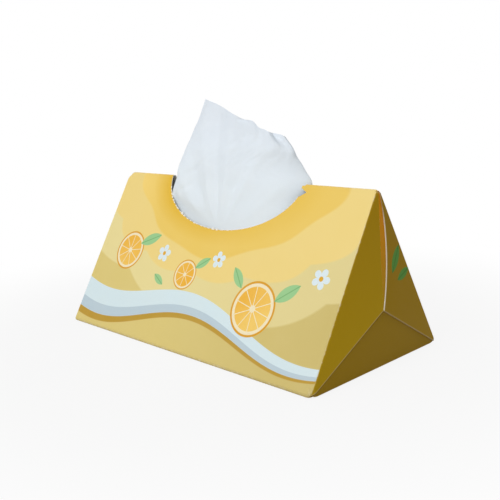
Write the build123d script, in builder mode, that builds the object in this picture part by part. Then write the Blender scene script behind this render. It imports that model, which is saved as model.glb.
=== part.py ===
"""Tent-shaped tissue box: a folded paperboard carton, its pack of tissues and the sheet
that is pulled up through the mouth.

Millimetres, +Z up. The origin is the middle of the base panel's underside. X runs along
the ridge, the front panel faces -Y, and the end that shows in the photograph faces +X.
"""

import os
from math import atan2, cos, pi, radians, sin, sqrt, tan

from build123d import *

# Carton
carton_length = 200.0  # along the ridge, between the outer end creases
panel_width = 107.0  # each of the three panels, from fold to fold
board = 0.45  # folding box board
fold_radius = 1.8  # outside of the three long folds
crease_radius = 0.9  # outside of the scored end creases
end_bulge = 3.0  # how far the glued flaps stand out at the middle of an end
flap_lap = 24.0  # glue lap under a flap's free edge, where it is widest
flap_grip = 0.5  # a covered flap runs this far past the seam above it
seam_hollow = 4.7  # the outermost flap's free edge is cut this much hollow
side_lap_width = 14.0  # glue lap that closes the three-sided tube
side_lap_taper = 60.0  # degrees, slant of that lap's two ends
side_lap_inset = 6.0  # from that lap's ends to the end creases

# Mouth, an oval laid over the ridge
mouth_length = 109.0
mouth_drop = 33.0  # from the ridge down each slope
nick_depth = 2.5  # torn bite past the rim, beside the ridge
nick_drop = 6.2  # down the slope to the bottom of the bite
nick_end = 3.0  # from there down to the lower end of the bite
tab_reach = 1.8  # torn tab of board left inside the rim
tab_width = 4.4

# Pack of tissues
stack_height = 28.0
stack_side_clearance = 3.5  # from the pack's top edges to the slopes
stack_end_clearance = 5.0
stack_fold_radius = 4.0  # soft folded long edges

# Pulled sheet
sheet_thickness = 0.5  # two gathered plies, as one skin
sheet_clearance = 0.9  # from the sheet to the mouth's rim
left_gap = 1.6  # more room at the mouth's left end, where the gap shows
right_gap = 1.3  # more room at its right end, behind the torn tab
peak_rise = 45.8  # sheet's corner above the ridge
peak_shift = 27.5  # that corner, in from the left end of the mouth
turn_rise = 25.7  # where the leading edge turns back, above the ridge
turn_shift = 16.7  # that turn, in from the right end of the mouth
turn_bow = 0.4  # share by which the right outline bows inward on its way there
back_depth = 8.0  # the rear half of the sheet stands this far behind the ridge
back_sweep = 150.0  # degrees that the sheet runs round behind
back_tilt = 30.0  # degrees, fall of the leading edge towards the back
top_depth = 7.0  # half the gap between front and rear, at the leading edge
right_setback = 3.0  # right end of the sheet, behind the torn tab
setback_sharpness = 8
foot_narrowing = 5.0  # each end of the gathered foot, in from the mouth's ends
foot_height = 25.0  # over which it widens to the mouth's length
pleat_depth = 1.4
pleat_count = 3
sheet_steps = 48
sheet_levels = 7
skin_probe = 0.01  # angle step that gives the skin's direction
crossing_rounds = 12

# Section of the three-sided tube
slope = radians(60)
section_height = panel_width * sin(slope)
centre_height = panel_width / (2 * sqrt(3))
base_front = (-panel_width / 2, 0)
base_back = (panel_width / 2, 0)
ridge_corner = (0, section_height)
section_centre = (0, centre_height)
ridge_height = section_height - fold_radius

# End creases step in by the board that lies over them
back_crease = carton_length / 2
front_crease = back_crease - board
base_crease = front_crease - board
flap_reach = sqrt(centre_height**2 + end_bulge**2)

front_normal = Vector(0, -sin(slope), cos(slope))
back_normal = Vector(0, sin(slope), cos(slope))
base_normal = Vector(0, 0, -1)
end_axis = Vector(1, 0, 0)


def wall_part(corner_a, corner_b):
    """The third of the tube's wall that belongs to one panel."""
    with BuildSketch(Plane.YZ) as part:
        add(wall_section.sketch_local)
        with BuildLine():
            Polyline(corner_a, corner_b, section_centre, close=True)
        make_face(mode=Mode.INTERSECT)
    return part.sketch


def flap_plane(panel_normal, crease):
    """Outer face of an end flap: hinged on its panel's crease, leaning out to the middle."""
    inward = panel_normal * -1
    foot = Vector(0, 0, centre_height) + panel_normal * centre_height
    lean = end_bulge / centre_height
    outward = end_axis - inward * lean
    return Plane(foot + end_axis * crease, x_dir=inward.cross(end_axis), z_dir=outward)


def flap(plane, past_seam, hollow=0):
    """Three-cornered flap from its crease to the middle of the end."""
    corner = Vector(panel_width / 2, 0)
    tip = Vector(0, flap_reach + past_seam)
    inset = (tip - corner).rotate(Axis.Z, 90).normalized() * hollow
    with BuildSketch(plane) as outline:
        with BuildLine():
            Line(corner, corner * -1)
            Line(corner * -1, tip)
            if hollow:
                ThreePointArc(tip, (tip + corner) / 2 + inset, corner)
            else:
                Line(tip, corner)
        make_face()
    extrude(outline.sketch, amount=-board)


def round_crease(panel_normal, crease):
    """Takes the sharp edge off a panel's end crease."""
    inward = panel_normal * -1
    foot = Vector(0, 0, centre_height) + panel_normal * centre_height
    flap_turn = pi / 2 + atan2(end_bulge, centre_height)
    tangent = crease_radius / tan(flap_turn / 2)
    with BuildSketch(Plane(foot, x_dir=end_axis, z_dir=end_axis.cross(inward))) as corner:
        with BuildLine():
            Polyline(
                (crease - tangent, 0),
                (crease, 0),
                (crease + tangent * end_bulge / flap_reach, tangent * centre_height / flap_reach),
                close=True,
            )
        make_face()
        with Locations((crease - tangent, crease_radius)):
            Circle(crease_radius, mode=Mode.SUBTRACT)
    extrude(corner.sketch, amount=panel_width / 2, both=True, mode=Mode.SUBTRACT)


def hidden_lap(plane, side):
    """Glue lap of the covered flap, under the free edge of the flap in this plane."""
    seam = sqrt((panel_width / 2) ** 2 + flap_reach**2)
    across = flap_reach / seam * flap_lap
    down = panel_width / 2 / seam * flap_lap
    with BuildSketch(plane.offset(-board)) as outline:
        with BuildLine():
            Polyline(
                (side * panel_width / 2, 0),
                (0, flap_reach),
                (-side * across, flap_reach - down),
                close=True,
            )
        make_face()
    extrude(outline.sketch, amount=-board)


with BuildSketch(Plane.YZ) as outer_section:
    with BuildLine():
        Polyline(base_front, base_back, ridge_corner, close=True)
    make_face()
    fillet(outer_section.vertices(), fold_radius)

with BuildSketch(Plane.YZ) as wall_section:
    add(outer_section.sketch_local)
    offset(amount=-board, mode=Mode.SUBTRACT)

base_wall = wall_part(base_back, base_front)
front_wall = wall_part(base_front, ridge_corner)
back_wall = wall_part(ridge_corner, base_back)

front_slope = Plane((0, 0, section_height), x_dir=(1, 0, 0), z_dir=front_normal)
back_slope = Plane((0, 0, section_height), x_dir=(-1, 0, 0), z_dir=back_normal)
through_fold = fold_radius + board

with BuildPart() as carton:
    # Half of the three panels, each out to its own crease
    extrude(base_wall, amount=base_crease)
    extrude(front_wall, amount=front_crease)
    extrude(back_wall, amount=back_crease)

    # End flaps: base one first, front one glued over it, back one outermost
    base_flap = flap_plane(base_normal, base_crease)
    front_flap = flap_plane(front_normal, front_crease)
    back_flap = flap_plane(back_normal, back_crease)
    flap(base_flap, flap_grip)
    flap(front_flap, flap_grip)
    flap(back_flap, 0, seam_hollow)
    hidden_lap(front_flap, 1)
    hidden_lap(back_flap, 1)
    hidden_lap(back_flap, -1)
    round_crease(base_normal, base_crease)
    round_crease(front_normal, front_crease)
    round_crease(back_normal, back_crease)

    # Flap corners follow the round of the long folds, and both ends are alike
    extrude(outer_section.sketch, amount=back_crease + 2 * end_bulge, mode=Mode.INTERSECT)
    mirror(about=Plane.YZ)

    # Glue lap inside the back panel, folded up from the base
    lap_foot = fold_radius * tan(slope)
    lap_length = 2 * (base_crease - side_lap_inset)
    with BuildSketch(back_slope.offset(-board)):
        with Locations((0, -panel_width + lap_foot + side_lap_width / 2)):
            Trapezoid(lap_length, side_lap_width, side_lap_taper)
    extrude(amount=-board)

    # Mouth through both slopes, with the torn tab and nick at its right end
    with BuildSketch(front_slope):
        Ellipse(mouth_length / 2, mouth_drop)
        with Locations((mouth_length / 2 - tab_reach, 0)):
            Rectangle(
                2 * tab_reach,
                tab_width,
                align=(Align.MIN, Align.MAX),
                mode=Mode.SUBTRACT,
            )
        with BuildLine():
            Polyline(
                (mouth_length / 2 - tab_reach, -tab_width),
                (mouth_length / 2 + nick_depth, -nick_drop),
                (mouth_length / 2 - tab_reach, -nick_drop - nick_end),
                close=True,
            )
        make_face()
    extrude(amount=-through_fold, mode=Mode.SUBTRACT)
    with BuildSketch(back_slope):
        Ellipse(mouth_length / 2, mouth_drop)
    extrude(amount=-through_fold, mode=Mode.SUBTRACT)

# Pack of tissues on the base panel, with soft folded long edges
stack_top = board + stack_height
stack_width = panel_width * (1 - stack_top / section_height) - 2 * stack_side_clearance
stack_length = carton_length - 2 * stack_end_clearance
with BuildPart() as tissue_stack:
    with BuildSketch(Plane.YZ):
        with Locations((0, board)):
            RectangleRounded(
                stack_width,
                stack_height,
                stack_fold_radius,
                align=(Align.CENTER, Align.MIN),
            )
    extrude(amount=stack_length / 2, both=True)

# Pulled sheet. It runs from its free edge at the mouth's left end along the front rim,
# turns at the right end and goes back behind. A point's place along it is an angle in
# plan: 180 degrees at the free edge, 270 at the front, 360 at the right end.
left_end = left_gap + sheet_clearance - mouth_length / 2
right_end = mouth_length / 2 - right_gap - sheet_clearance
front_depth = mouth_drop * cos(slope) - sheet_clearance - board
peak_height = ridge_height + peak_rise


def ease(share):
    """Smooth step from 0 to 1."""
    share = min(max(share, 0), 1)
    return share * share * (3 - 2 * share)


def sheet_point(angle, height):
    """Where the sheet's outer skin stands at one height."""
    rise = max(height - ridge_height, 0)
    left = left_end + peak_shift * rise / peak_rise
    turned = rise / turn_rise
    right = right_end - turn_shift * turned * (1 + turn_bow - turn_bow * turned)
    drawn_in = foot_narrowing * (1 - ease((height - stack_top) / foot_height))
    depth = back_depth if angle > 2 * pi else front_depth
    depth += (top_depth - depth) * ease(rise / turn_rise)
    depth -= pleat_depth * sin(pleat_count * (angle - pi)) ** 2
    behind_tab = right_setback * ((1 + cos(angle)) / 2) ** setback_sharpness
    x = (left + right) / 2 + ((right - left) / 2 - drawn_in) * cos(angle)
    return Vector(x, depth * sin(angle) + behind_tab, height)


def sheet_plane(level):
    """Plane of one section: flat on the pack, slanting with the leading edge at the top."""
    share = level / sheet_levels
    fall = (peak_rise - turn_rise) * share
    run = (right_end - turn_shift) - (left_end + peak_shift)
    return Plane(
        (left_end + peak_shift, 0, stack_top + (peak_height - stack_top) * share),
        x_dir=(run, 0, -fall),
        z_dir=(fall / run, tan(radians(back_tilt)) * share, 1),
    )


def sheet_crossing(angle, plane):
    """Where the sheet at this angle crosses a section plane, in the plane's own axes."""
    height = plane.origin.Z
    for _ in range(crossing_rounds):
        off_plane = plane.to_local_coords(sheet_point(angle, height)).Z
        height -= off_plane / plane.z_dir.Z
    crossing = plane.to_local_coords(sheet_point(angle, height))
    return Vector(crossing.X, crossing.Y)


with BuildPart() as pulled_tissue:
    for level in range(sheet_levels + 1):
        section_plane = sheet_plane(level)
        outer_points = []
        inner_points = []
        for step in range(sheet_steps + 1):
            angle = pi + (pi + radians(back_sweep)) * step / sheet_steps
            outer_point = sheet_crossing(angle, section_plane)
            ahead = sheet_crossing(angle + skin_probe, section_plane) - outer_point
            outer_points.append(outer_point)
            inner_points.append(outer_point + ahead.rotate(Axis.Z, 90).normalized() * sheet_thickness)
        with BuildSketch(section_plane):
            with BuildLine():
                Polyline(*outer_points, *reversed(inner_points), close=True)
            make_face()
    loft(ruled=True)

os.makedirs("parts", exist_ok=True)
carton.part.label = "carton"
export_step(carton.part, "parts/carton.step")
tissue_stack.part.label = "tissue_stack"
export_step(tissue_stack.part, "parts/tissue_stack.step")
pulled_tissue.part.label = "pulled_tissue"
export_step(pulled_tissue.part, "parts/pulled_tissue.step")
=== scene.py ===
import math
import random

import bmesh
import bpy
import numpy as np
from mathutils import Matrix, Vector, noise


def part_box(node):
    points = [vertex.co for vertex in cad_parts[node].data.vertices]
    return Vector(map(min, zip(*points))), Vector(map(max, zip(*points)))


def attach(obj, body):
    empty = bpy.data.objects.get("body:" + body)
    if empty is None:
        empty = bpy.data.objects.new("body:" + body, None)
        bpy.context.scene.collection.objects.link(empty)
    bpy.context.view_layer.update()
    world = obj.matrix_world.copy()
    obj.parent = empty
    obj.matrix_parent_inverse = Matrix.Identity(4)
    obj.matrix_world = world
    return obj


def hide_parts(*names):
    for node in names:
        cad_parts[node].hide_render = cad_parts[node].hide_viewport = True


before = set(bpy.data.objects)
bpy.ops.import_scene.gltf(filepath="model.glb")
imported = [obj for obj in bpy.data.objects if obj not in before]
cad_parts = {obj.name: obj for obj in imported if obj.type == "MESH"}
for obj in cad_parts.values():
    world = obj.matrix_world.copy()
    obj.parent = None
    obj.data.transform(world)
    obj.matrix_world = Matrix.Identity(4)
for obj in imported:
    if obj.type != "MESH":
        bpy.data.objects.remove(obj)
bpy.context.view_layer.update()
scene = bpy.context.scene

# Carton
# One sheet of folding box board, printed on its outside in yellows, scored, folded into a
# three-sided tube and glued. Its sizes are in millimetres. The mesh shown is the solid's own,
# with the six corners where three folds meet eased over, as handling has left them.
MM = 0.001
PANEL = 107.0
SLOPE_RUN = math.cos(math.radians(60))
SLOPE_RISE = math.sin(math.radians(60))
APEX = PANEL * SLOPE_RISE
SECTION_CENTRE = APEX / 3
BOARD = 0.45
MOUTH_HALF = 54.5
MOUTH_DROP = 33.0
END_CREASE = 99.54
END_BULGE = 3.0


class Ink:
    """A socket of a material. Sums on it add Math nodes, and add() places any other node."""

    def __init__(self, tree, socket=None):
        self.tree = tree
        self.socket = socket

    def add(self, kind, settings=None, sockets=None, out=0):
        node = self.tree.nodes.new(kind)
        for name, value in (settings or {}).items():
            setattr(node, name, value)
        for name, value in (sockets or {}).items():
            if isinstance(value, Ink):
                self.tree.links.new(value.socket, node.inputs[name])
            else:
                node.inputs[name].default_value = value
        return Ink(self.tree, node.outputs[out] if node.outputs else None)

    def sum(self, operation, first, second=0.0):
        return self.add("ShaderNodeMath", {"operation": operation}, {0: first, 1: second})

    def __add__(self, other):
        return self.sum("ADD", self, other)

    def __sub__(self, other):
        return self.sum("SUBTRACT", self, other)

    def __rsub__(self, other):
        return self.sum("SUBTRACT", other, self)

    def __mul__(self, other):
        return self.sum("MULTIPLY", self, other)

    def __truediv__(self, other):
        return self.sum("DIVIDE", self, other)

    def __rtruediv__(self, other):
        return self.sum("DIVIDE", other, self)

    def __pow__(self, other):
        return self.sum("POWER", self, other)

    def __lt__(self, other):
        return self.sum("LESS_THAN", self, other)

    def __gt__(self, other):
        return self.sum("GREATER_THAN", self, other)

    def __and__(self, other):
        return self.sum("MINIMUM", self, other)

    def __or__(self, other):
        return self.sum("MAXIMUM", self, other)

    def __abs__(self):
        return self.sum("ABSOLUTE", self)

    __radd__ = __add__
    __rmul__ = __mul__


def blank_material(name):
    """New material without nodes, and the ink that its nodes are added with."""
    material = bpy.data.materials.new(name)
    material.use_nodes = True
    material.node_tree.nodes.clear()
    return material, Ink(material.node_tree)


def mesh_from(name, shape):
    """Mesh data made from a finished bmesh, which is then freed."""
    data = bpy.data.meshes.new(name)
    shape.to_mesh(data)
    shape.free()
    return data


def in_scene(name, data):
    """Object with that data, linked into the scene."""
    thing = bpy.data.objects.new(name, data)
    scene.collection.objects.link(thing)
    return thing


def tint(red, green, blue):
    """Linear colour of a printed tone given in 0 to 255."""
    channels = []
    for level in (red, green, blue):
        level = level / 255
        if level <= 0.04045:
            channels.append(level / 12.92)
        else:
            channels.append(((level + 0.055) / 1.055) ** 2.4)
    return (*channels, 1.0)


def over(ground, colour, mask):
    """Colour laid over a ground where the mask is 1."""
    return mask.add("ShaderNodeMix", {"data_type": "RGBA"}, {0: mask, 6: ground, 7: colour}, out=2)


def axes_of(vector):
    """The x, y and z of a vector."""
    split = vector.add("ShaderNodeSeparateXYZ", {}, {0: vector})
    return [Ink(vector.tree, axis) for axis in split.socket.node.outputs]


def grain(place, scale, detail):
    """Uneven pattern in a material, from 0 to 1."""
    return place.add("ShaderNodeTexNoise", {}, {"Vector": place, "Scale": scale, "Detail": detail})


def ramp(value, low, high, first=0.0, last=1.0):
    """Even change from first to last while the value goes from low to high."""
    return value.add("ShaderNodeMapRange", {}, {0: value, 1: low, 2: high, 3: first, 4: last})


def wave(value):
    return value.sum("SINE", value)


def root(value):
    return value.sum("SQRT", value)


def edged(inside, soft=0.16):
    """Mask of a printed shape from the distance inside its outline, in millimetres."""
    return ramp(inside, -soft, soft)


def lined(distance, half_width, soft):
    """Mask of a line from the distance to its middle, in millimetres."""
    return edged(half_width - abs(distance), soft)


def turned(across, down, place, angle):
    """Coordinates round a place on a panel, turned by an angle in degrees."""
    cosine = math.cos(math.radians(angle))
    sine = math.sin(math.radians(angle))
    east = across - place[0]
    south = down - place[1]
    return east * cosine + south * sine, south * cosine - east * sine


RIB_HALF = 0.28


def leaf(ground, across, down, row, blade_tone, rib_tone, where):
    """Pointed leaf with a midrib. Its row gives place, angle, half length and half width."""
    place, angle, half_length, half_width = row
    along, aside = turned(across, down, place, angle)
    bend = (half_length**2 + half_width**2) / (2 * half_width)
    blade = bend - root(along * along + (abs(aside) + (bend - half_width)) ** 2)
    rib = RIB_HALF - abs(aside)
    ground = over(ground, blade_tone, edged(blade) * where)
    return over(ground, rib_tone, edged(blade & rib) * where)


def fruit_slice(ground, across, down, place, radius, segments, spin):
    """Cut round of citrus: rind, pale pith and wedge-shaped segments."""
    along, aside = turned(across, down, place, spin)
    reach = root(along * along + aside * aside)
    bearing = aside.sum("ARCTAN2", aside, along)
    wedge = abs(wave(bearing * (segments / 2)))
    pulp = (radius * 0.80 - reach) & (reach * wedge - radius * 0.075) & (reach - radius * 0.13)
    fleck = along.add("ShaderNodeTexNoise", {}, {"Scale": 2.2, "Detail": 2.0})
    flesh = over(tint(240, 176, 44), tint(248, 206, 104), edged(fleck - 0.5, 0.2))
    ground = over(ground, tint(221, 156, 28), edged(radius - reach))
    ground = over(ground, tint(246, 233, 196), edged(radius * 0.92 - reach))
    return over(ground, flesh, edged(pulp))


def blossom(ground, across, down, place, radius, spin):
    """Five-petalled white blossom with a golden heart."""
    along, aside = turned(across, down, place, spin)
    reach = root(along * along + aside * aside)
    bearing = aside.sum("ARCTAN2", aside, along)
    petals = abs(wave(bearing * 2.5)) ** 0.55
    ground = over(ground, tint(222, 237, 243), edged((petals * 0.62 + 0.38) * radius - reach))
    return over(ground, tint(226, 170, 46), edged(radius * 0.24 - reach))


board_print, start = blank_material("printed_board")
place = start.add("ShaderNodeTexCoord", out="Object")
x_mm, y_mm, z_mm = [axis * (1 / MM) for axis in axes_of(place)]
facing_x, facing_y, facing_z = axes_of(start.add("ShaderNodeNewGeometry", out="True Normal"))

# The print lies only on faces that look outward: slopes, base and end flaps. The back flap
# turns over one board further out than the other two.
FACES_OUT = 0.42
BASE_BAND = 0.95
END_BAND = 95.5
BACK_FLAP_FROM = 0.5
end_side = x_mm.sum("SIGN", x_mm)
slope_side = y_mm.sum("SIGN", y_mm)
past_crease = abs(x_mm) > END_CREASE + (y_mm > BACK_FLAP_FROM) * BOARD
slope_out = (facing_y * slope_side * SLOPE_RISE + facing_z * SLOPE_RUN) * (1 - past_crease)
base_out = facing_z * -1 * (z_mm < BASE_BAND)
end_out = facing_x * end_side * (abs(x_mm) > END_BAND)
outward = slope_out | base_out | end_out
printed = outward > FACES_OUT
on_end = (end_out > FACES_OUT) * (end_out > slope_out) * (end_out > base_out)
on_base = (base_out > FACES_OUT) * (base_out > slope_out)

# Fields of yellow round the mouth on both slopes. Each reaches a number of times as far as
# the mouth itself, and its scalloped edge is a sum of waves round the mouth.
PALE_REACH = 2.42
GOLD_REACH = 1.86
RIM_REACH = 1.46
REACH_MM = 30.0
FIELD_SOFT = 0.5
down_mm = (APEX - z_mm) / SLOPE_RISE
along_mouth = x_mm / MOUTH_HALF
down_mouth = down_mm / MOUTH_DROP
ring = root(along_mouth * along_mouth + down_mouth * down_mouth)
bearing = down_mm.sum("ARCTAN2", down_mouth, along_mouth)
ripple = wave(bearing * 9 + 0.4) * 0.035 + wave(bearing * 4 + 1.3) * 0.06
scallop = abs(wave(bearing * 7 + 0.9)) * 0.13 + wave(bearing * 3) * 0.07
cloud = abs(wave(bearing * 5 + 2.1)) * 0.20 + wave(bearing * 2 + 0.6) * 0.12
fades_right = ramp(x_mm, -20.0, 100.0)
glows_left = ramp(x_mm, -50.0, -85.0)
ground = over(tint(223, 202, 124), tint(208, 188, 116), fades_right)
pale_field = over(tint(236, 220, 154), tint(227, 211, 147), fades_right)
gold_field = tint(242, 215, 134)
rim_field = over(tint(239, 203, 100), tint(249, 215, 119), glows_left)
colour = over(ground, pale_field, edged((PALE_REACH + cloud - ring) * REACH_MM, FIELD_SOFT))
colour = over(colour, gold_field, edged((GOLD_REACH + scallop - ring) * REACH_MM, FIELD_SOFT))
colour = over(colour, rim_field, edged((RIM_REACH + ripple - ring) * REACH_MM, FIELD_SOFT))
deep = ramp(ring, 1.02, 1.30, 1.0, 0.0) * ramp(x_mm, -40.0, 30.0, 0.95, 0.35)
colour = over(colour, tint(230, 184, 46), deep)

# Orchard motifs on the front slope: a pale ribbon with its shadow, slices, leaves, blossom.
# Places are across the panel and down from the ridge.
RIBBON_DOWN = 84
RIBBON_TRIM = 0.3
SLICES = (
    ((47.0, 72.0), 15.0, 10, 12),
    ((-69.0, 54.0), 12.5, 9, 30),
    ((-12.0, 62.0), 9.0, 8, 5),
)
FRONT_LEAVES = (
    ((66.5, 60.5), -38, 8.5, 3.6),
    ((30.0, 57.5), -132, 7.0, 3.0),
    ((-52.5, 45.0), -24, 9.0, 3.5),
    ((-0.5, 53.5), -36, 6.0, 2.5),
    ((-33.0, 68.0), 28, 5.5, 2.3),
)
BLOSSOMS = (
    ((11.0, 50.0), 5.0, 10),
    ((84.0, 50.0), 5.5, 40),
    ((-36.0, 52.0), 5.5, 25),
)
front = y_mm < 0
ribbon_line = wave((x_mm + 118) / 26) * 8.0 + wave((x_mm + 20) / 61) * 4.0 + RIBBON_DOWN
ribbon_half = ramp(x_mm, -100.0, 100.0, 10.0, 3.0)
below_line = down_mm - ribbon_line
shadow_gap = ribbon_half * 0.95 - abs(below_line - ribbon_half * 0.5) - RIBBON_TRIM
ribbon_gap = ribbon_half - abs(below_line) - RIBBON_TRIM
fold_gap = ribbon_half * 0.34 - abs(below_line - ribbon_half * 0.62)
motif = over(colour, tint(190, 150, 48), edged(shadow_gap))
motif = over(motif, tint(217, 235, 241), edged(ribbon_gap))
motif = over(motif, tint(190, 209, 220), edged(fold_gap & ribbon_gap))
for slice_place, slice_radius, slice_segments, slice_spin in SLICES:
    motif = fruit_slice(motif, x_mm, down_mm, slice_place, slice_radius, slice_segments, slice_spin)
for leaf_row in FRONT_LEAVES:
    motif = leaf(motif, x_mm, down_mm, leaf_row, tint(152, 205, 144), tint(120, 180, 118), 1.0)
for blossom_place, blossom_radius, blossom_spin in BLOSSOMS:
    motif = blossom(motif, x_mm, down_mm, blossom_place, blossom_radius, blossom_spin)
colour = over(colour, motif, front * slope_out)

# End flaps and base: deeper golden ground. The lap that shows beside the outer flap's
# hollow edge is orange, and the cut edges of the flaps are rubbed pale, but not by the apex.
FLAP_LEAN = END_BULGE / SECTION_CENTRE
LAP_PLANE = 99.8
SEAM_BEND = 104.1
SEAM_BELLY = 4.7
FLAP_EDGES = 98.6
SEAM_FOOT = 0.8
SEAM_TOP = 31.5
END_LEAVES = (
    ((13.0, 38.0), -62, 7.5, 3.0),
    ((20.0, 47.0), -20, 6.0, 2.5),
)
depth_back = (APEX - z_mm) * SLOPE_RUN - y_mm * SLOPE_RISE
under_flap = (abs(x_mm) - depth_back * FLAP_LEAN) < LAP_PLANE
lap_shows = under_flap * (y_mm > 0)
hollow_y = y_mm + (SEAM_BEND - SEAM_BELLY)
hollow_z = z_mm - APEX * 2 / 3
past_hollow = root(hollow_y * hollow_y + hollow_z * hollow_z) - SEAM_BEND
above_left = z_mm * SLOPE_RISE - (y_mm + PANEL / 2) * SLOPE_RUN
above_right = z_mm * SLOPE_RISE + (y_mm - PANEL / 2) * SLOPE_RUN
front_flap = (above_left > 0) * (past_hollow < 0)
near_apex = ramp(z_mm, 73.0, 83.0)
end_ground = over(tint(190, 154, 12), tint(183, 144, 8), ramp(z_mm, 16.0, 76.0))
# The back and base flaps are painted darker than the front flap: painted shade for their lean away from the
# lamps
end_ground = over(end_ground, tint(152, 116, 2), (1 - front_flap) * 0.7)
end_ground = over(end_ground, tint(226, 148, 6), lap_shows * ramp(z_mm, 32.0, 74.0))
right_end = x_mm > 0
below_apex = APEX - z_mm
leaf_tones = (tint(92, 150, 62), tint(70, 122, 48))
for leaf_row in END_LEAVES:
    end_ground = leaf(end_ground, y_mm, below_apex, leaf_row, *leaf_tones, right_end)
rubbed = lined(past_hollow - 0.18, 0.26, 0.15) * (1 - under_flap)
rubbed = rubbed * (z_mm > SECTION_CENTRE) * (1 - near_apex)
rubbed = rubbed | lined(above_left - 0.2, 0.22, 0.15) * (y_mm < 0) * 0.25
rubbed = rubbed | lined(above_right - 0.2, 0.22, 0.15) * (y_mm > 0) * 0.25
end_ground = over(end_ground, tint(238, 228, 198), rubbed)
# Painted shadow: a dark line on the base flap where the front flap's lower edge shades it
seam_painted_shadow = lined(above_left + 0.45, 0.4, 0.25) * (y_mm < 0)
end_ground = over(end_ground, tint(96, 66, 8), seam_painted_shadow * 0.8)
colour = over(colour, end_ground, on_end)
colour = over(colour, tint(223, 190, 88), on_base)

# Ink has a faint mottle, and the scores and folds are painted paler: partly cracked ink that shows pale
# board, partly a painted highlight along the rounded folds
BARE_ROUGHNESS = 0.85
FIBRE_RELIEF = 0.012 * MM
CRACK_RELIEF = 0.06 * MM
SWELL_RELIEF = 0.4 * MM
fibre = grain(place, 900.0, 4.0)
mottle = grain(place, 55.0, 3.0)
crack = grain(place, 420.0, 5.0)
swell = grain(place, 16.0, 1.0)
colour = over(colour, tint(250, 236, 190), mottle * (1 - on_end * 0.85) * 0.10)
wear_and_fold_highlight = ramp(outward, 0.99, 0.80) * ramp(crack, 0.50, 0.66, 0.03, 0.40)
colour = over(colour, tint(240, 230, 205), wear_and_fold_highlight)
bare = over(tint(228, 222, 208), tint(243, 240, 232), fibre)
# Cut edges of the end flaps are darkened to olive: low on the seams as painted shade, and by the apex so
# that the seam seems to start lower down
darkened_cut_edge = (abs(x_mm) > FLAP_EDGES) * ((z_mm < SEAM_TOP) * (z_mm > SEAM_FOOT) | near_apex)
bare = over(bare, tint(160, 128, 44), darkened_cut_edge * 0.8)
colour = over(bare, colour, printed)
gloss = ramp(mottle, 0.3, 0.7, 0.40, 0.52) * printed + (1 - printed) * BARE_ROUGHNESS
relief = fibre * FIBRE_RELIEF + crack * wear_and_fold_highlight * CRACK_RELIEF + swell * SWELL_RELIEF
bumped = start.add("ShaderNodeBump", {}, {"Strength": 0.6, "Distance": 1.0, "Height": relief})
coated = start.add(
    "ShaderNodeBsdfPrincipled",
    {},
    {"Base Color": colour, "Roughness": gloss, "Normal": bumped, "Specular IOR Level": 0.05},
)
start.add("ShaderNodeOutputMaterial", {}, {"Surface": coated})

# The solid's mesh is cut finer along its folds and ends, and drawn in at the blunt corners.
# Each long fold has its bearing in the section, in degrees, and a round at its left and right end.
CORNER_CUTS = 12
WIDEST_ROUND = 5.0
BLUNT_CORNERS = ((90, (WIDEST_ROUND, 2.2)), (-30, (2.6, 1.8)), (210, (0.8, 4.2)))
END_AT_FOLD = 99.75
FOLD_REACH = 59.98
WELD = 1e-7
SLIVER = 1e-6
FLAP_FACING = 0.985
FLAP_TURN = math.radians(3)
FOLD_TURN = math.radians(30)


def fold_way(bearing):
    """Way from the middle of the section to a long fold."""
    return Vector((0, math.cos(math.radians(bearing)), math.sin(math.radians(bearing))))


section_middle = Vector((0, 0, SECTION_CENTRE))
carton_mesh = bmesh.new()
carton_mesh.from_mesh(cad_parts["carton"].data)
bmesh.ops.remove_doubles(carton_mesh, verts=carton_mesh.verts, dist=WELD)
cuts = []
for cut in range(1, CORNER_CUTS + 1):
    inset = WIDEST_ROUND * (1 - math.cos(math.pi / 2 * cut / CORNER_CUTS))
    for end in (-1, 1):
        cuts.append((Vector((end * (END_AT_FOLD - inset), 0, 0)), Vector((1, 0, 0))))
    for fold_bearing, rounds in BLUNT_CORNERS:
        outward_way = fold_way(fold_bearing)
        cuts.append((section_middle + outward_way * (FOLD_REACH - inset), outward_way))
for cut_place, cut_way in cuts:
    everything = carton_mesh.verts[:] + carton_mesh.edges[:] + carton_mesh.faces[:]
    bmesh.ops.bisect_plane(
        carton_mesh, geom=everything, dist=WELD, plane_co=cut_place * MM, plane_no=cut_way
    )
bmesh.ops.dissolve_degenerate(carton_mesh, dist=SLIVER, edges=carton_mesh.edges)
for corner_spot in carton_mesh.verts:
    from_middle = corner_spot.co / MM - section_middle
    end = 1 if from_middle.x > 0 else -1
    for fold_bearing, rounds in BLUNT_CORNERS:
        outward_way = fold_way(fold_bearing)
        blunt = rounds[(end + 1) // 2]
        below_fold = FOLD_REACH - from_middle.dot(outward_way)
        below_end = END_AT_FOLD + END_BULGE * below_fold / FOLD_REACH - end * from_middle.x
        if below_fold < blunt and below_end < blunt:
            from_round = Vector((blunt - below_end, blunt - below_fold))
            drawn_in = from_round * (1 - max(from_round) / from_round.length)
            corner_spot.co -= (Vector((end, 0, 0)) * drawn_in.x + outward_way * drawn_in.y) * MM

# Folds shade smoothly, while cut edges and the seams between the flat end flaps stay sharp
carton_mesh.normal_update()
for face in carton_mesh.faces:
    face.smooth = True
for edge in carton_mesh.edges:
    on_flaps = all(abs(face.normal.x) > FLAP_FACING for face in edge.link_faces)
    edge.smooth = edge.calc_face_angle(0.0) < (FLAP_TURN if on_flaps else FOLD_TURN)
carton_data = mesh_from("blunted_carton", carton_mesh)
carton_data.materials.append(board_print)
carton = in_scene("blunted_carton", carton_data)
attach(carton, "root")
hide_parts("carton")

# Perforation nibs
# Small torn bridges of board left round the mouth where its perforated lid was pulled
# away. They are bare white fibre in the thickness of the board, fast to the rim.
NIB_COUNT = 46
LEAST_DROP = 9.0
RAGGED_LEFT_OF = 8.0
RAGGED = 1.5
NIB_UNDERSIDE = BOARD - 0.10
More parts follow.
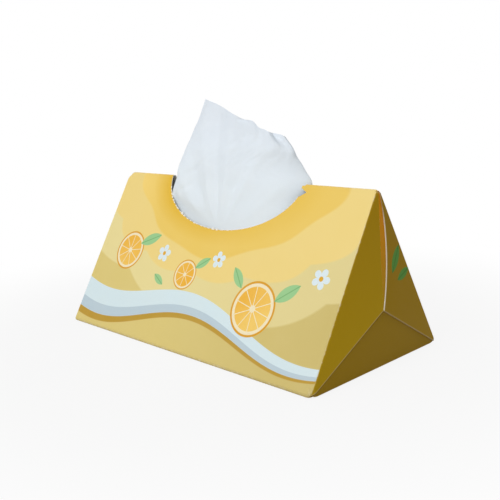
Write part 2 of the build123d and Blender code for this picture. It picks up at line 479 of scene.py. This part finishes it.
# Outline of a nib as shares of its half width and of how far it stands proud
NIB_OUTLINE = ((-1.0, -0.5), (-0.8, 0.6), (-0.2, 1.0), (0.4, 0.75), (0.9, 0.3), (1.0, -0.5))
torn = random.Random(7)
nib_mesh = bmesh.new()
for side in (-1, 1):
    for count in range(NIB_COUNT):
        bearing_of_nib = math.pi * (count + 0.5 + torn.uniform(-0.22, 0.22)) / NIB_COUNT
        rim_x = MOUTH_HALF * math.cos(bearing_of_nib)
        rim_down = MOUTH_DROP * math.sin(bearing_of_nib)
        if rim_down < LEAST_DROP:
            continue
        inward = Vector((-rim_x / MOUTH_HALF**2, -rim_down / MOUTH_DROP**2)).normalized()
        tangent = Vector((-inward.y, inward.x))
        ragged = RAGGED if rim_x < RAGGED_LEFT_OF and side < 0 else 1.0
        half_wide = torn.uniform(0.35, 0.80) * ragged
        proud = torn.uniform(0.20, 0.60) * ragged
        outline = []
        for aside, reach in NIB_OUTLINE:
            reach_mm = reach * proud * torn.uniform(0.8, 1.15)
            outline.append(Vector((rim_x, rim_down)) + tangent * (aside * half_wide) + inward * reach_mm)
        layers = []
        lift = torn.uniform(0.05, 0.30)
        for depth in (-lift, NIB_UNDERSIDE):
            ring_of_points = []
            for spot in outline:
                y = side * (spot.y * SLOPE_RUN - depth * SLOPE_RISE)
                z = APEX - spot.y * SLOPE_RISE - depth * SLOPE_RUN
                ring_of_points.append(nib_mesh.verts.new((spot.x * MM, y * MM, z * MM)))
            layers.append(ring_of_points)
        top_ring, under_ring = layers
        nib_mesh.faces.new(top_ring)
        nib_mesh.faces.new(list(reversed(under_ring)))
        for first in range(len(outline)):
            second = (first + 1) % len(outline)
            wall = (top_ring[second], top_ring[first], under_ring[first], under_ring[second])
            nib_mesh.faces.new(wall)
bmesh.ops.recalc_face_normals(nib_mesh, faces=nib_mesh.faces)
nib_data = mesh_from("mouth_nibs", nib_mesh)
nibs = in_scene("mouth_nibs", nib_data)

TORN_RELIEF = 0.08 * MM
torn_board, start = blank_material("torn_board")
place = start.add("ShaderNodeTexCoord", out="Object")
fibre = grain(place, 1500.0, 4.0)
colour = over(tint(236, 229, 212), tint(252, 250, 244), fibre)
bumped = start.add("ShaderNodeBump", {}, {"Strength": 0.8, "Distance": 1.0, "Height": fibre * TORN_RELIEF})
fluff = start.add(
    "ShaderNodeBsdfPrincipled", {}, {"Base Color": colour, "Roughness": 0.9, "Normal": bumped}
)
start.add("ShaderNodeOutputMaterial", {}, {"Surface": fluff})
nib_data.materials.append(torn_board)
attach(nibs, "root")

# Pack of tissues
# Interfolded two-ply sheets lying on the base panel. Their folded long edges are round
# and not quite in line, and the ends show the cut leaves, with painted shade where one leaf meets the next.
LEAVES = 28
PACK_RINGS = 24
EDGE_STEPS = 4
ROUND_OVER = 4.0 * MM
MOST_SETBACK = 0.9 * MM
MOST_DRIFT = 0.3 * MM
PACK_CLEARANCE = 0.4 * MM
EDGE_BULGE = 0.35
pack_low, pack_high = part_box("tissue_stack")
leaf_height = (pack_high.z - pack_low.z) / LEAVES
half_width = (pack_high.y - pack_low.y) / 2
stacked = random.Random(11)
setbacks = []
for side in (-1, 1):
    setbacks.append([stacked.uniform(0.0, MOST_SETBACK) for count in range(LEAVES)])
pack_mesh = bmesh.new()
pack_rings = []
for ring_count in range(PACK_RINGS + 1):
    x = pack_low.x + (pack_high.x - pack_low.x) * ring_count / PACK_RINGS
    profile = []
    for side in (-1, 1):
        edge = []
        for count in range(LEAVES):
            setback = setbacks[(side + 1) // 2][count]
            drift = noise.noise(Vector((x * 18, count * 1.7, side * 3.1))) * MOST_DRIFT
            for step in range(EDGE_STEPS):
                turn = math.pi * (step + 0.5) / EDGE_STEPS
                z = pack_low.z + leaf_height * (count + 0.5 - 0.5 * math.cos(turn))
                into_round = max(ROUND_OVER - min(z - pack_low.z, pack_high.z - z), 0)
                draw_in = ROUND_OVER - math.sqrt(max(ROUND_OVER**2 - into_round**2, 0))
                reach = half_width - PACK_CLEARANCE - draw_in - setback - abs(drift)
                bulge = leaf_height * EDGE_BULGE * (math.sin(turn) - 1)
                edge.append((x, side * (reach + bulge), z))
        profile += edge if side == -1 else reversed(edge)
    pack_rings.append([pack_mesh.verts.new(point) for point in profile])
for first, second in zip(pack_rings, pack_rings[1:]):
    for count in range(len(first)):
        following = (count + 1) % len(first)
        pack_mesh.faces.new((first[count], first[following], second[following], second[count]))
pack_mesh.faces.new(list(reversed(pack_rings[0])))
pack_mesh.faces.new(pack_rings[-1])
bmesh.ops.recalc_face_normals(pack_mesh, faces=pack_mesh.faces)
pack_data = mesh_from("tissue_pack", pack_mesh)
pack = in_scene("tissue_pack", pack_data)

LEAF_RELIEF = 0.06 * MM
leaves, start = blank_material("tissue_leaves")
place = start.add("ShaderNodeTexCoord", out="Object")
# Painted shade: the paper is darker in the lines where one leaf meets the next
away_from_leaf_gaps = abs(wave(axes_of(place)[2] * (math.pi / leaf_height)))
crepe = grain(place, 1300.0, 3.0)
colour = over(tint(214, 219, 226), tint(240, 243, 248), away_from_leaf_gaps)
bumped = start.add("ShaderNodeBump", {}, {"Strength": 0.7, "Distance": 1.0, "Height": crepe * LEAF_RELIEF})
soft = start.add(
    "ShaderNodeBsdfPrincipled", {}, {"Base Color": colour, "Roughness": 0.95, "Normal": bumped}
)
start.add("ShaderNodeOutputMaterial", {}, {"Surface": soft})
pack_data.materials.append(leaves)
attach(pack, "root")
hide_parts("tissue_stack")

# Pulled tissue
# The top sheet, drawn up through the mouth by its corner. Thin two-ply creped paper,
# held only by the mouth: a free edge at the left, one soft pleat at the right.
ACROSS = 330
UP = 170
ROWS_CROWD_LOW = 0.8
FOOT = 28.45
SWEEP = math.radians(330)
GATHER_HEIGHT = 95.0
# Plan of the sheet: height, its left and right ends, its front and back depth there, and how
# round it is at the left and at the right (1 is an ellipse, less is fuller)
SHEET_PLAN = (
    (28.0, -47.0, 47.3, 14.4, 8.0, 0.85, 0.85),
    (58.0, -52.4, 52.4, 15.8, 8.0, 0.85, 0.85),
    (67.0, -52.8, 52.8, 15.8, 8.0, 0.85, 0.85),
    (74.0, -52.6, 52.3, 14.8, 8.0, 0.84, 0.86),
    (81.0, -52.2, 51.4, 13.3, 8.0, 0.72, 0.90),
    (91.0, -47.0, 52.8, 11.2, 8.0, 0.66, 1.00),
    (97.0, -44.8, 47.9, 10.3, 8.0, 0.66, 1.15),
    (103.0, -42.4, 46.3, 9.3, 8.0, 0.66, 1.25),
    (109.0, -40.2, 46.2, 8.3, 7.8, 0.66, 1.28),
    (115.0, -37.0, 40.7, 7.4, 7.6, 0.66, 1.28),
    (125.0, -29.8, 32.0, 6.7, 7.3, 0.66, 1.28),
    (137.0, -22.8, 24.0, 6.0, 7.0, 0.66, 1.28),
)
# Leading edge: place along the sheet from 0 to 1, then x, y and z in millimetres
LEADING_EDGE = (
    (0.000, -22.4, 0.5, 136.6),
    (0.030, -17.6, -1.0, 135.6),
    (0.110, -4.0, -3.5, 131.9),
    (0.200, 8.8, -6.0, 127.5),
    (0.265, 15.3, -5.2, 124.8),
    (0.300, 20.5, -4.5, 124.0),
    (0.330, 23.2, -2.9, 120.8),
    (0.365, 26.8, -1.3, 119.2),
    (0.405, 30.1, -0.6, 117.9),
    (0.470, 33.6, 2.2, 116.9),
    (0.530, 35.6, 4.6, 115.3),
    (0.570, 33.2, 7.8, 114.4),
    (0.610, 27.1, 10.0, 113.4),
    (0.680, 20.6, 11.3, 114.4),
    (0.760, 12.8, 10.1, 113.2),
    (0.840, 4.2, 9.8, 113.9),
    (0.920, -4.9, 7.2, 112.0),
    (1.000, -14.0, 6.0, 112.9),
)


def ease(share):
    """Soft start and stop of a share from 0 to 1."""
    share = np.clip(share, 0, 1)
    return share * share * (3 - 2 * share)


def rise(value, low, high):
    """Soft change from 0 to 1 while the value goes from low to high."""
    return ease((value - low) / (high - low))


def smooth_through(table, column, at):
    """Smooth curve through one column of a table whose first column gives the places."""
    places, values = np.array(table)[:, 0], np.array(table)[:, column]
    slopes = np.gradient(values, places)
    slot_of = np.clip(np.searchsorted(places, at, side="right") - 1, 0, len(places) - 2)
    step = places[slot_of + 1] - places[slot_of]
    share = (at - places[slot_of]) / step
    rest = 1 - share
    first_part = (1 + 2 * share) * rest**2 * values[slot_of] + share * rest**2 * step * slopes[slot_of]
    last_part = share**2 * (3 - 2 * share) * values[slot_of + 1]
    return first_part + last_part - share**2 * rest * step * slopes[slot_of + 1]


def plain_sheet(angle, height):
    """Plan of the sheet at a height, before its folds: the blunt oval that the mouth gives it.
    Its right end stands back from the torn tab, most of all at the ridge."""
    left, right, front_depth, back_depth, left_round, right_round = (
        smooth_through(SHEET_PLAN, column, height) for column in range(1, 7)
    )
    roundness = np.where(np.cos(angle) > 0, right_round, left_round)
    sideways = np.sign(np.cos(angle)) * np.abs(np.cos(angle)) ** roundness
    outward = np.sign(np.sin(angle)) * np.abs(np.sin(angle)) ** roundness
    stands_back = 3.0 + 4.0 * rise(height, 80.0, 96.0) - 2.0 * rise(height, 98.0, 108.0)
    behind_tab = stands_back * ((1 + np.cos(angle)) / 2) ** 6
    x = (left + right) / 2 + (right - left) / 2 * sideways
    return x, np.where(outward < 0, front_depth, back_depth) * outward + behind_tab


# Columns of the sheet stand at even steps round the oval at the ridge. Above the ridge they
# are drawn over to the leading edge.
DRAWN_FROM = 96.0
DRAWN_SHORT_OF_EDGE = 4.0
turning = np.linspace(math.pi, math.pi + SWEEP, 4000)
oval_x, oval_y = plain_sheet(turning, np.full_like(turning, GATHER_HEIGHT))
walked = np.append(0, np.cumsum(np.hypot(np.diff(oval_x), np.diff(oval_y))))
along = np.linspace(0, 1, ACROSS + 1)
angle = np.interp(along * walked[-1], walked, turning)
edge_x, edge_y, edge_z = (smooth_through(LEADING_EDGE, column, along) for column in (1, 2, 3))
plain_x, plain_y = plain_sheet(angle, edge_z)
lifted = np.linspace(0, 1, UP + 1)[:, None] ** ROWS_CROWD_LOW
height = FOOT + (edge_z - FOOT) * lifted
angle = np.broadcast_to(angle, height.shape)
in_front = np.sin(angle) < 0
sheet_x, sheet_y = plain_sheet(angle, height)
drawn = rise(height, DRAWN_FROM, edge_z - DRAWN_SHORT_OF_EDGE)
sheet_x = sheet_x + (edge_x - plain_x) * drawn
sheet_y = sheet_y + (edge_y - plain_y) * drawn

# The pleat tucks behind the front at the leading edge and opens out on the way down
PLEAT_PLACE = 0.447
PLEAT_WIDE = 0.033
PLEAT_DEEP = 3.6
PLEAT_DRIFT = 0.030
PLEAT_FOOT = 101.0
PLEAT_BACK = 0.4
tucked = rise(height, PLEAT_FOOT, edge_z) ** 2.2
pleat = np.exp(-(((along - PLEAT_PLACE - PLEAT_DRIFT * (1 - tucked)) / PLEAT_WIDE) ** 2)) * tucked
sheet_x = sheet_x - PLEAT_DEEP * pleat
sheet_y = sheet_y + PLEAT_DEEP * PLEAT_BACK * pleat

# Soft creases fan out from the low middle of the sheet, with fewer of them on its back.
# Each has its bearing and half width in degrees, its depth in millimetres, and its bend in
# degrees for each millimetre past the reach at which the bearing holds.
FAN_X = 2.0
FAN_Z = 58.0
FAN_REACH = 40.0
FRONT_CREASES = (
    (-52, 5.0, 1.1, 0.10),
    (-36, 6.5, -1.0, 0.12),
    (-22, 4.5, 0.8, 0.08),
    (-8, 4.0, -0.9, 0.02),
    (3, 4.5, 1.0, -0.02),
    (16, 5.0, -0.8, -0.06),
    (27, 4.0, 0.7, -0.08),
    (40, 5.5, -0.4, -0.10),
    (54, 4.0, 0.6, -0.10),
)
BACK_CREASES = (
    (-26, 6.0, 0.9, 0.10),
    (-9, 4.5, -1.0, 0.04),
    (5, 4.0, 0.8, -0.04),
    (21, 5.5, -1.0, -0.08),
    (37, 4.5, 0.7, -0.10),
)
fan_reach = np.hypot(sheet_x - FAN_X, height - FAN_Z)
fan_turn = np.degrees(np.arctan2(sheet_x - FAN_X, height - FAN_Z))
rim_drop = MOUTH_DROP * SLOPE_RISE * np.sqrt(np.maximum(1 - (sheet_x / MOUTH_HALF) ** 2, 0))
above_rim = height - APEX + rim_drop


def fanned(creases):
    """Depth of a fan of creases all over the sheet."""
    depth = np.zeros_like(height)
    for turn, wide, deep, bend in creases:
        bent = fan_turn - turn - bend * (fan_reach - FAN_REACH)
        depth += deep * np.exp(-((bent / wide) ** 2))
    return depth


full_turn = 2 * math.pi
fades_up = 0.9 * rise(above_rim, 1.0, 21.0) * (1 - 0.55 * rise(height, 108.0, 130.0))
fades_aside = rise(angle, math.pi, math.pi + 0.5) * (1 - rise(angle, full_turn - 0.85, full_turn - 0.35))
sheet_y = sheet_y - fanned(FRONT_CREASES) * fades_up * fades_aside
fades_aside = rise(angle, full_turn + 0.3, full_turn + 0.8)
sheet_y = sheet_y + fanned(BACK_CREASES) * rise(above_rim, 3.0, 23.0) * fades_aside

# Along the lower left of the rim the sheet turns in before the board meets it
TURN_IN = 1.8
at_lower_left = (1 - rise(sheet_x, -28.0, 12.0)) * rise(sheet_x, -52.5, -40.5) * in_front
sheet_y = sheet_y + TURN_IN * (1 - rise(above_rim, 0.0, 11.0)) * at_lower_left

# Short wrinkles on the front: ends of each as x and z, then half width and depth
WRINKLES = (
    (-44.0, 88.0, -16.0, 99.0, 2.0, 0.55),
    (-40.0, 82.0, -22.0, 89.0, 1.8, 0.45),
    (-34.0, 106.0, -14.0, 108.0, 2.6, -0.40),
    (9.0, 125.2, 19.5, 123.4, 0.8, 0.45),
    (6.0, 84.0, 22.0, 100.0, 3.0, 0.45),
    (-12.0, 70.0, -8.0, 92.0, 2.4, -0.45),
)
WRINKLE_BOW = 0.06
for start_x, start_z, stop_x, stop_z, wide, deep in WRINKLES:
    run = math.hypot(stop_x - start_x, stop_z - start_z)
    east, north = (stop_x - start_x) / run, (stop_z - start_z) / run
    lengthwise = (sheet_x - start_x) * east + (height - start_z) * north
    sideways = (height - start_z) * east - (sheet_x - start_x) * north
    bowed = sideways - WRINKLE_BOW * lengthwise * (run - lengthwise) / run
    fades = ease(lengthwise / run * 3) * ease((run - lengthwise) / run * 3) * in_front
    sheet_y = sheet_y + deep * np.exp(-((bowed / wide) ** 2)) * fades

# Small crumple that no two places share, held down where the mouth grips the sheet
for row in range(UP + 1):
    for column in range(ACROSS + 1):
        spot = Vector((along[column] * 22.0, height[row, column] * 0.11, 4.0))
        crumple = noise.noise(spot) * 0.35 + noise.noise(spot * 2.3) * 0.16 + noise.noise(spot * 5.1) * 0.05
        loose = 0.15 + 0.85 * min(max((height[row, column] - 84.0) / 16.0, 0), 1)
        sheet_y[row, column] += crumple * loose

points = np.stack([sheet_x, sheet_y, height], -1).reshape(-1, 3) * MM
row_length = ACROSS + 1
corner = (np.arange(UP)[:, None] * row_length + np.arange(ACROSS)[None, :]).reshape(-1)
quads = np.stack([corner, corner + 1, corner + row_length + 1, corner + row_length], -1)
sheet_data = bpy.data.meshes.new("tissue_sheet")
sheet_data.from_pydata(points.tolist(), [], quads.tolist())
sheet_data.polygons.foreach_set("use_smooth", [True] * len(quads))
sheet_data.update()
sheet = in_scene("tissue_sheet", sheet_data)

# The paper is painted paler low down, painted light where the mouth's rim shades it, and greyer at the top,
# painted shade where the lamps light it more. A little light comes through it
CREPE_RELIEF = 0.12 * MM
CREPE_STRETCH = (1.0, 1.0, 3.5)
LET_THROUGH = 0.14
tissue, start = blank_material("creped_tissue")
place = start.add("ShaderNodeTexCoord", out="Object")
stretched = start.add("ShaderNodeMapping", {}, {0: place, "Scale": CREPE_STRETCH})
crepe = grain(stretched, 700.0, 4.0)
cloudy = grain(place, 60.0, 3.0)
low_painted_light_tone = over(tint(239, 248, 254), tint(246, 252, 255), cloudy)
top_painted_shade_tone = over(tint(226, 234, 243), tint(235, 241, 248), cloudy)
colour = over(low_painted_light_tone, top_painted_shade_tone, ramp(axes_of(place)[2], 0.085, 0.125))
bumped = start.add("ShaderNodeBump", {}, {"Strength": 0.5, "Distance": 1.0, "Height": crepe * CREPE_RELIEF})
paper = start.add(
    "ShaderNodeBsdfPrincipled",
    {},
    {"Base Color": colour, "Roughness": 0.95, "Normal": bumped, "Specular IOR Level": 0.1},
)
through = start.add("ShaderNodeBsdfTranslucent", {}, {"Color": tint(237, 245, 251), "Normal": bumped})
thin = start.add("ShaderNodeMixShader", {}, {0: LET_THROUGH, 1: paper, 2: through})
start.add("ShaderNodeOutputMaterial", {}, {"Surface": thin})
sheet_data.materials.append(tissue)
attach(sheet, "root")
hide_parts("pulled_tissue")

# Studio
# Pale floor that fades into a white surround, a large soft lamp high in front, a weaker
# one behind, an even fill, and the camera where the photograph was taken from.
WHITE = (1.0, 1.0, 1.0, 1.0)
FLOOR_HALF = 3.0
FLOOR_LEVEL = -0.0003
floor_corners = []
for side_x, side_y in ((-1, -1), (1, -1), (1, 1), (-1, 1)):
    floor_corners.append((side_x * FLOOR_HALF, side_y * FLOOR_HALF, FLOOR_LEVEL))
floor_data = bpy.data.meshes.new("floor")
floor_data.from_pydata(floor_corners, [], [(0, 1, 2, 3)])
floor = in_scene("floor", floor_data)


def looked_at(start):
    """1 where a surface is looked at, straight or in a reflection or through glass."""
    straight = start.add("ShaderNodeLightPath", out="Is Camera Ray")
    reflected = start.add("ShaderNodeLightPath", out="Is Glossy Ray")
    return straight | reflected | start.add("ShaderNodeLightPath", out="Is Transmission Ray")


floor_paint, start = blank_material("floor_paint")
place = start.add("ShaderNodeTexCoord", out="Object")
reach = start.add("ShaderNodeVectorMath", {"operation": "LENGTH"}, {0: place}, out="Value")
far = start.add(
    "ShaderNodeMapRange",
    {"interpolation_type": "SMOOTHSTEP"},
    {0: reach, 1: 0.12, 2: 0.30, 3: 0.88, 4: 1.0},
)
matt = start.add("ShaderNodeBsdfDiffuse", {}, {"Color": tint(196, 196, 196)})
white = start.add("ShaderNodeEmission", {}, {"Color": WHITE, "Strength": 1.0})
faded = start.add("ShaderNodeMixShader", {}, {0: far * looked_at(start), 1: matt, 2: white})
start.add("ShaderNodeOutputMaterial", {}, {"Surface": faded})
floor_data.materials.append(floor_paint)

surround = bpy.data.worlds.new("surround")
surround.use_nodes = True
surround.node_tree.nodes.clear()
start = Ink(surround.node_tree)
fill = start.add("ShaderNodeBackground", {}, {"Color": WHITE, "Strength": 0.38})
shown = start.add("ShaderNodeBackground", {}, {"Color": WHITE, "Strength": 1.0})
sky = start.add("ShaderNodeMixShader", {}, {0: looked_at(start), 1: fill, 2: shown})
start.add("ShaderNodeOutputWorld", {}, {"Surface": sky})
scene.world = surround

LAMP_SIZE = 0.9
LAMP_REACH = 1.3
LAMP_AIM = Vector((0.0, 0.0, 0.06))
for lamp_name, watts, lamp_way in (
    ("key", 10.2, Vector((0.10, -0.80, 0.64))),
    ("rear", 4.4, Vector((0.10, 0.80, 0.56))),
):
    lamp_data = bpy.data.lights.new(lamp_name, "AREA")
    lamp_data.shape = "DISK"
    lamp_data.size = LAMP_SIZE
    lamp_data.energy = watts
    lamp = in_scene(lamp_name, lamp_data)
    lamp.location = LAMP_AIM + lamp_way.normalized() * LAMP_REACH
    lamp.rotation_euler = (LAMP_AIM - lamp.location).to_track_quat("-Z", "Y").to_euler()

# The camera's turn, rise and roll, its place along its own axes in metres, and its focal
# length and picture width in pixels
VIEW_TURN = math.radians(45.5208)
VIEW_RISE = math.radians(11.6633)
VIEW_ROLL = math.radians(-2.2013)
STAND_RIGHT = 0.0054036
STAND_UP = 0.0482986
STAND_BACK = 0.4416132
FOCAL_PIXELS = 737.2004
PICTURE_PIXELS = 500
SENSOR = 36.0
level = Vector((math.cos(VIEW_TURN), math.sin(VIEW_TURN), 0.0))
forth = Vector((-level.y, level.x, 0.0))
back = Vector((0.0, 0.0, math.sin(VIEW_RISE))) - forth * math.cos(VIEW_RISE)
upright = back.cross(level)
right = level * math.cos(VIEW_ROLL) + upright * math.sin(VIEW_ROLL)
up = upright * math.cos(VIEW_ROLL) - level * math.sin(VIEW_ROLL)
stand = right * STAND_RIGHT + up * STAND_UP + back * STAND_BACK
camera_data = bpy.data.cameras.new("camera")
camera_data.sensor_width = SENSOR
camera_data.lens = FOCAL_PIXELS / PICTURE_PIXELS * SENSOR
camera_data.clip_start = 0.01
camera = in_scene("camera", camera_data)
camera.matrix_world = Matrix.Translation(stand) @ Matrix((right, up, back)).transposed().to_4x4()
scene.camera = camera
scene.view_settings.view_transform = "Standard"
